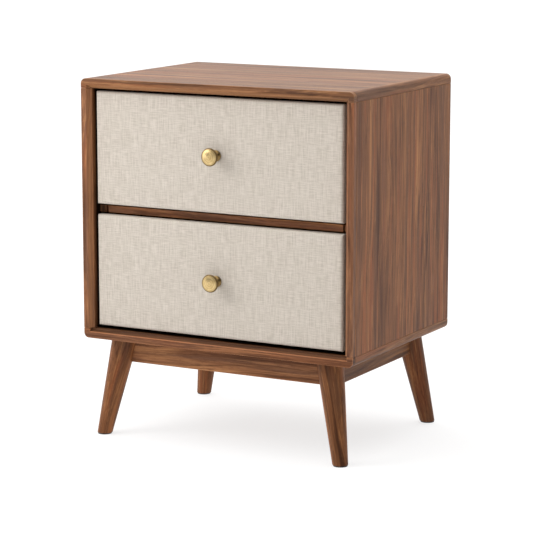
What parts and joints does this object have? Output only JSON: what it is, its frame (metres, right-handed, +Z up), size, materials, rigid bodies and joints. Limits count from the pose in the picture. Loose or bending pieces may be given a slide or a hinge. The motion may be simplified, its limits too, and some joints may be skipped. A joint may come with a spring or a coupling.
{
  "type": "nightstand with drawers",
  "caption": "Bedside cabinet with linen-covered drawer fronts and round brass knobs, in a case with rounded corners on a low frame of splayed, tapered round legs.",
  "frame": {"origin": "on the floor, under the middle of the whole object's box, knobs included", "axes": "+X to the object's right as seen from the front, +Y to the back, +Z up; the drawers open along -Y"},
  "size_m": [0.48, 0.365, 0.574],
  "materials": {
    "walnut_veneer": "satin lacquer over walnut veneer, grain running round the case",
    "solid_walnut": "satin lacquer over solid walnut",
    "back_board": "thin walnut-faced board, matt lacquer",
    "front_core": "raw plywood",
    "linen": "slub linen cloth, stretched and glued over the front board",
    "drawer_wood": "clear matt lacquer over birch plywood",
    "drawer_bottom_board": "thin birch plywood, clear matt lacquer",
    "brass": "satin turned brass",
    "screw_steel": "zinc-plated steel",
    "slide_steel": "zinc-plated pressed steel",
    "foot_plastic": "dark nylon"
  },
  "bodies": {
    "case": {"top_panel": "walnut_veneer", "bottom_panel": "walnut_veneer", "left_side_panel": "walnut_veneer", "right_side_panel": "walnut_veneer", "back_panel": "back_board", "top_left_corner_strip": "solid_walnut", "top_right_corner_strip": "solid_walnut", "bottom_left_corner_strip": "solid_walnut", "bottom_right_corner_strip": "solid_walnut", "top_front_lipping": "solid_walnut", "right_front_lipping": "solid_walnut", "bottom_front_lipping": "solid_walnut", "left_front_lipping": "solid_walnut", "drawer_divider_rail": "solid_walnut", "left_divider_block": "solid_walnut", "right_divider_block": "solid_walnut", "front_left_leg": "solid_walnut", "front_right_leg": "solid_walnut", "back_left_leg": "solid_walnut", "back_right_leg": "solid_walnut", "front_left_foot_glide": "foot_plastic", "front_right_foot_glide": "foot_plastic", "back_left_foot_glide": "foot_plastic", "back_right_foot_glide": "foot_plastic", "front_apron": "solid_walnut", "back_apron": "solid_walnut", "left_apron": "solid_walnut", "right_apron": "solid_walnut", "upper_left_slide_case_member": "slide_steel", "upper_right_slide_case_member": "slide_steel", "lower_left_slide_case_member": "slide_steel", "lower_right_slide_case_member": "slide_steel"},
    "upper_drawer": {"upper_drawer_front_board": "front_core", "upper_drawer_linen_cover": "linen", "upper_drawer_knob": "brass", "upper_drawer_knob_screw": "screw_steel", "upper_drawer_box_front": "drawer_wood", "upper_drawer_left_side": "drawer_wood", "upper_drawer_right_side": "drawer_wood", "upper_drawer_box_back": "drawer_wood", "upper_drawer_bottom": "drawer_bottom_board", "upper_left_slide_drawer_member": "slide_steel", "upper_right_slide_drawer_member": "slide_steel"},
    "lower_drawer": {"lower_drawer_front_board": "front_core", "lower_drawer_linen_cover": "linen", "lower_drawer_knob": "brass", "lower_drawer_knob_screw": "screw_steel", "lower_drawer_box_front": "drawer_wood", "lower_drawer_left_side": "drawer_wood", "lower_drawer_right_side": "drawer_wood", "lower_drawer_box_back": "drawer_wood", "lower_drawer_bottom": "drawer_bottom_board", "lower_left_slide_drawer_member": "slide_steel", "lower_right_slide_drawer_member": "slide_steel"},
    "upper_runners": {"upper_left_slide_middle_member": "slide_steel", "upper_right_slide_middle_member": "slide_steel"},
    "lower_runners": {"lower_left_slide_middle_member": "slide_steel", "lower_right_slide_middle_member": "slide_steel"}
  },
  "joints": [
    {"name": "upper_drawer_slide", "type": "slide", "parent": "case", "child": "upper_drawer", "axis": [0, -1, 0], "range_m": [0, 0.28]},
    {"name": "upper_runner_slide", "type": "slide", "parent": "case", "child": "upper_runners", "axis": [0, -1, 0], "range_m": [0, 0.14]},
    {"name": "lower_drawer_slide", "type": "slide", "parent": "case", "child": "lower_drawer", "axis": [0, -1, 0], "range_m": [0, 0.28]},
    {"name": "lower_runner_slide", "type": "slide", "parent": "case", "child": "lower_runners", "axis": [0, -1, 0], "range_m": [0, 0.14]}
  ],
  "couplings": [
    {"joint": "upper_runner_slide", "follows": "upper_drawer_slide", "ratio": 0.5},
    {"joint": "lower_runner_slide", "follows": "lower_drawer_slide", "ratio": 0.5}
  ]
}
